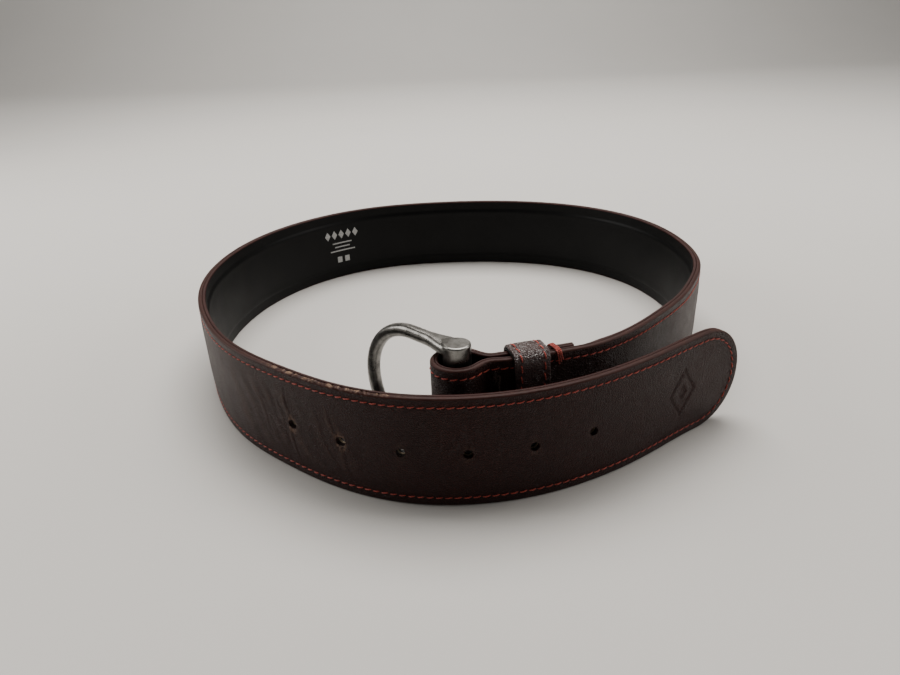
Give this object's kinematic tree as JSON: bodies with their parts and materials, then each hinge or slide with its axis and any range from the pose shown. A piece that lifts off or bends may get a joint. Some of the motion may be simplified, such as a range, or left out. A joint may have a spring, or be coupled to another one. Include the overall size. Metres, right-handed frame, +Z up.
{
  "type": "leather belt",
  "caption": "Leather belt standing on edge in an open loop, with a D-ring buckle on an upright bar, a prong, a sewn keeper loop and a punched free end.",
  "frame": {"origin": "on the floor at the middle of the loop's bounding box, seen from above", "axes": "+Z up, along the strap's width; +X to the right with the free end in front; +Y towards the back of the loop"},
  "size_m": [0.2207, 0.2341, 0.048],
  "materials": {
    "oxblood_leather": "satin pebble grain",
    "keeper_leather": "glossy pebble grain",
    "black_lining": "smooth satin",
    "fibre_board": "matte bonded board",
    "red_thread": "waxed polyester thread",
    "brown_thread": "fibrous thread",
    "antique_nickel": "antique nickel casting"
  },
  "bodies": {
    "strap": {"outer_leather": "oxblood_leather", "lining": "black_lining", "core_board": "fibre_board", "stitching_top": "red_thread", "stitching_bottom": "red_thread", "neck_stitching_front": "brown_thread", "neck_stitching_back": "brown_thread", "overcast_thread_top": "red_thread", "overcast_thread_bottom": "red_thread"},
    "billet": {"outer_leather_billet": "oxblood_leather", "lining_billet": "black_lining", "core_board_billet": "fibre_board", "stitching_billet": "red_thread"},
    "ring": {"d_ring": "antique_nickel"},
    "prong": {"prong": "antique_nickel"},
    "keeper": {"keeper_outer": "keeper_leather", "keeper_backing": "black_lining", "keeper_stitching_left": "red_thread", "keeper_stitching_right": "red_thread"}
  },
  "joints": [
    {"name": "ring_swivel", "type": "hinge", "parent": "strap", "child": "ring", "pos_m": [-0.00081, -0.10094, 0.024], "axis": [0, 0, 1], "range_deg": [-55, 5]},
    {"name": "prong_pivot", "type": "hinge", "parent": "ring", "child": "prong", "pos_m": [-0.00081, -0.10094, 0.024], "axis": [0, 0, 1], "range_deg": [-23, 6]},
    {"name": "keeper_slide", "type": "slide", "parent": "strap", "child": "keeper", "axis": [-0.9686, -0.2485, 0], "range_m": [0, 0.0033]},
    {"name": "billet_flex", "type": "hinge", "parent": "strap", "child": "billet", "pos_m": [-0.10535, -0.02419, 0.019], "axis": [0, 0, -1], "range_deg": [0, 35], "stiffness_Nm_per_rad": 0.02}
  ]
}
